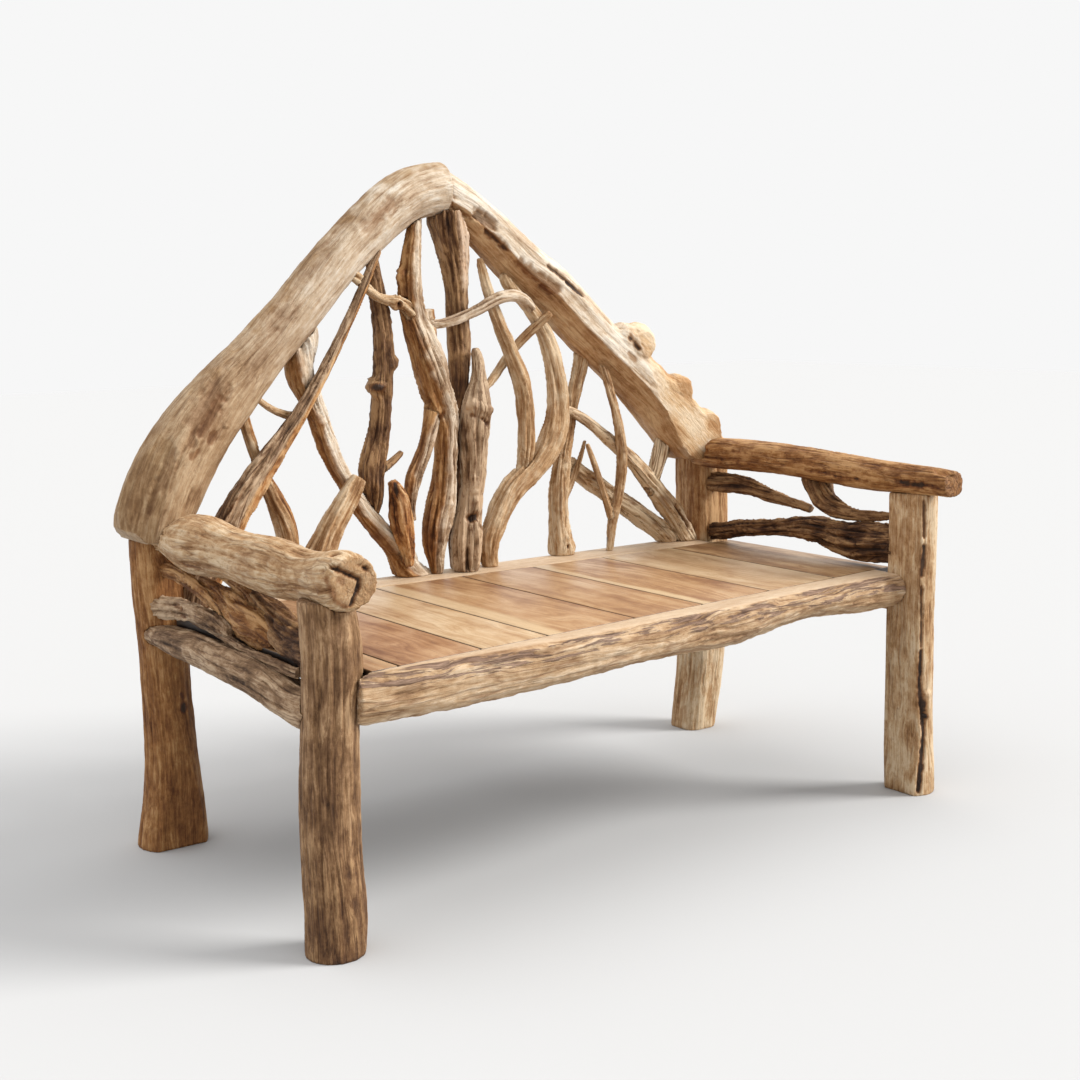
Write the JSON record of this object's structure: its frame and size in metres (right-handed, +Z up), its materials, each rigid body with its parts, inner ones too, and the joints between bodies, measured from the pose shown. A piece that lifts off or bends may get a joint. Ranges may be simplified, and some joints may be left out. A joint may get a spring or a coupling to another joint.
{
  "type": "rustic garden bench",
  "caption": "Rustic root-wood garden bench with log posts and arms, boarded seat and a gabled back filled with crooked branches.",
  "frame": {"origin": "on the ground under the middle of the bench's overall length and depth", "axes": "+X along the seat to the sitter's left, -Y towards the front, +Z up"},
  "size_m": [1.47, 0.8, 1.2707],
  "materials": {
    "log_wood": "weathered, sanded",
    "live_edge_rail": "sanded top, rough live edge",
    "seat_board": "satin",
    "root_wood": "weathered, furrowed",
    "dowel_wood": "plain",
    "screw_steel": "zinc plated"
  },
  "bodies": {
    "root": {"arm_dowels": "dowel_wood", "back_branch_01": "root_wood", "back_branch_02": "root_wood", "back_branch_03": "root_wood", "back_branch_04": "root_wood", "back_branch_05": "root_wood", "back_branch_06": "root_wood", "back_branch_07": "root_wood", "back_branch_08": "root_wood", "back_branch_09": "root_wood", "back_branch_10": "root_wood", "back_branch_11": "root_wood", "back_branch_12": "root_wood", "back_branch_13": "root_wood", "back_branch_14": "root_wood", "back_branch_15": "root_wood", "back_branch_16": "root_wood", "back_branch_17": "root_wood", "back_branch_18": "root_wood", "back_branch_19": "root_wood", "branch_screws": "screw_steel", "front_left_post": "log_wood", "front_right_post": "log_wood", "front_seat_rail": "live_edge_rail", "gable_dowels": "dowel_wood", "ledger_screws": "screw_steel", "left_arm": "log_wood", "left_arm_root_1": "root_wood", "left_arm_root_2": "root_wood", "left_arm_root_3": "root_wood", "left_gable_beam": "log_wood", "left_side_rail": "log_wood", "rail_pegs": "dowel_wood", "rear_left_post": "log_wood", "rear_right_post": "log_wood", "rear_seat_ledger": "live_edge_rail", "rear_seat_rail": "live_edge_rail", "right_arm": "log_wood", "right_arm_root_1": "root_wood", "right_arm_root_2": "root_wood", "right_arm_root_3": "root_wood", "right_gable_beam": "log_wood", "right_side_rail": "log_wood", "seat_slat_1": "seat_board", "seat_slat_2": "seat_board", "seat_slat_3": "seat_board", "seat_slat_4": "seat_board", "seat_slat_5": "seat_board", "seat_slat_6": "seat_board", "seat_slat_7": "seat_board", "seat_slat_8": "seat_board", "slat_screws": "screw_steel"}
  },
  "joints": []
}
